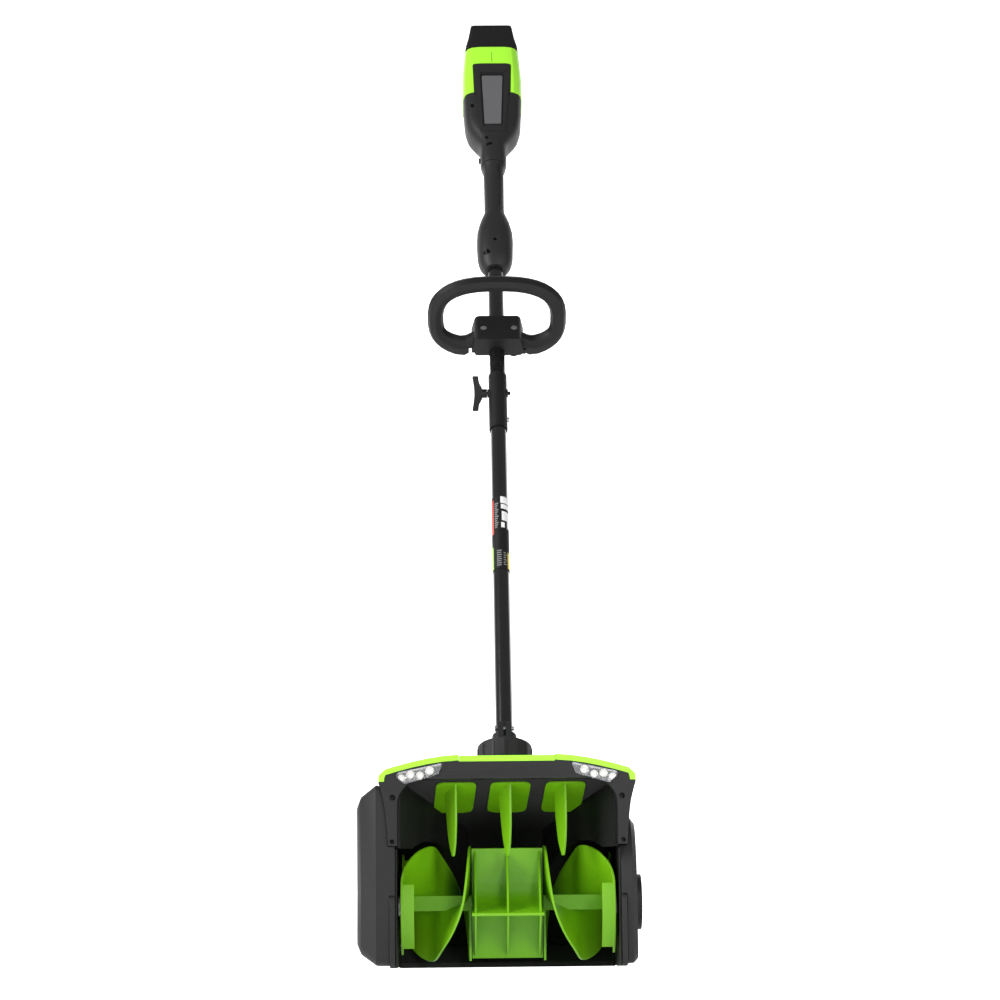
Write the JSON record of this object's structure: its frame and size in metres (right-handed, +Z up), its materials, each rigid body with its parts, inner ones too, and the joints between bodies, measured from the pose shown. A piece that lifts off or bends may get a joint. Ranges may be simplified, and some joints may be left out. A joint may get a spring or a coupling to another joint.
{
  "type": "cordless snow shovel",
  "caption": "Battery snow thrower with an open auger head, throwing vanes, a two-piece shaft with a loop handle, and a grip with a battery housing.",
  "frame": {"origin": "middle of the scraper bar's flat wear face, on the ground", "axes": "+Z up, -Y the way the head faces and throws, +Y towards the user, +X the right-hand side seen from the front"},
  "size_m": [0.397, 0.9665, 1.6822],
  "materials": {
    "black_plastic": "satin, finely textured",
    "graphite_plastic": "satin, finely textured",
    "lime_plastic": "smooth satin gloss",
    "rotor_plastic": "smooth moulded",
    "black_tube": "gloss powder coat",
    "bright_steel": "machined, zinc plated",
    "rubber": "matt",
    "clear_lens": "clear",
    "reflector": "vacuum metallised",
    "panel": "smooth",
    "circuit": "coated board"
  },
  "bodies": {
    "head": {"auger_housing": "black_plastic", "side_plate_left": "black_plastic", "side_plate_right": "black_plastic", "skid_left": "graphite_plastic", "skid_right": "graphite_plastic", "scraper_bar": "rubber", "top_cover_center": "lime_plastic", "top_cover_left": "lime_plastic", "top_cover_right": "lime_plastic", "rear_cover": "black_plastic", "front_frame": "graphite_plastic", "lamp_lens_left": "clear_lens", "lamp_lens_right": "clear_lens", "lamp_reflector_left": "reflector", "lamp_reflector_right": "reflector", "belt_cover": "graphite_plastic", "bearing_cover": "graphite_plastic", "vane_left": "rotor_plastic", "vane_center": "rotor_plastic", "vane_right": "rotor_plastic", "bearing_left": "bright_steel", "bearing_right": "bright_steel", "drive_belt": "rubber", "motor_can": "bright_steel", "motor_mount": "graphite_plastic", "shaft_socket": "graphite_plastic", "clamp_bolt": "bright_steel", "lower_tube": "black_tube", "shaft_label": "panel", "coupler_sleeve": "black_plastic", "wire_harness_lower": "rubber"},
    "rotor": {"impeller": "rotor_plastic", "auger_left": "rotor_plastic", "auger_right": "rotor_plastic", "rotor_shaft": "bright_steel", "rotor_pulley": "black_plastic"},
    "motor": {"motor_rotor": "bright_steel", "motor_pulley": "bright_steel"},
    "handle": {"upper_tube": "black_tube", "tube_clamp_housing": "graphite_plastic", "grip": "graphite_plastic", "power_head_body": "graphite_plastic", "green_band": "lime_plastic", "badge_plate": "panel", "terminal_block": "black_plastic", "controller_board": "circuit", "trigger_pin": "bright_steel", "wire_harness_upper": "rubber"},
    "coupler_knob": {"t_knob": "black_plastic"},
    "snap": {"snap_button": "bright_steel"},
    "loop": {"loop_handle": "black_plastic", "loop_clamp": "black_plastic", "loop_bolt_left": "bright_steel", "loop_bolt_right": "bright_steel"},
    "loop_knob": {"wing_knob": "black_plastic"},
    "trigger": {"trigger": "black_plastic"},
    "lock": {"lock_off_button": "black_plastic"},
    "battery": {"battery_pack": "black_plastic"},
    "latch": {"battery_latch": "lime_plastic"}
  },
  "joints": [
    {"name": "rotor_spin", "type": "hinge", "parent": "head", "child": "rotor", "pos_m": [0, -0.055, 0.089], "axis": [1, 0, 0], "continuous": true},
    {"name": "motor_spin", "type": "hinge", "parent": "head", "child": "motor", "pos_m": [-0.1, 0.063, 0.189], "axis": [1, 0, 0], "continuous": true},
    {"name": "shaft_slide", "type": "slide", "parent": "head", "child": "handle", "axis": [0, 0.4726, 0.8813], "range_m": [0, 0.048]},
    {"name": "coupler_knob_turn", "type": "hinge", "parent": "head", "child": "coupler_knob", "pos_m": [0, 0.36866, 0.91611], "axis": [-1, 0, 0], "range_deg": [0, 720]},
    {"name": "snap_press", "type": "slide", "parent": "head", "child": "snap", "axis": [-1, 0, 0], "range_m": [0, 0.004], "stiffness_N_per_m": 400},
    {"name": "loop_slide", "type": "slide", "parent": "handle", "child": "loop", "axis": [0, 0.4726, 0.8813], "range_m": [-0.03, 0.11]},
    {"name": "loop_knob_turn", "type": "hinge", "parent": "loop", "child": "loop_knob", "pos_m": [0.028, 0.44457, 1.00477], "axis": [0, 0.8813, -0.4726], "range_deg": [0, 720]},
    {"name": "trigger_pull", "type": "hinge", "parent": "handle", "child": "trigger", "pos_m": [0, 0.61079, 1.34228], "axis": [-1, 0, 0], "range_deg": [0, 10], "stiffness_Nm_per_rad": 0.6},
    {"name": "lock_off_press", "type": "slide", "parent": "handle", "child": "lock", "axis": [1, 0, 0], "range_m": [0, 0.0018], "stiffness_N_per_m": 500},
    {"name": "battery_slide", "type": "slide", "parent": "handle", "child": "battery", "axis": [0, 0.4726, 0.8813], "range_m": [0, 0.12]},
    {"name": "latch_press", "type": "slide", "parent": "battery", "child": "latch", "axis": [0, -0.8813, 0.4726], "range_m": [0, 0.003], "stiffness_N_per_m": 500}
  ],
  "couplings": [
    {"joint": "motor_spin", "follows": "rotor_spin", "ratio": 4}
  ]
}
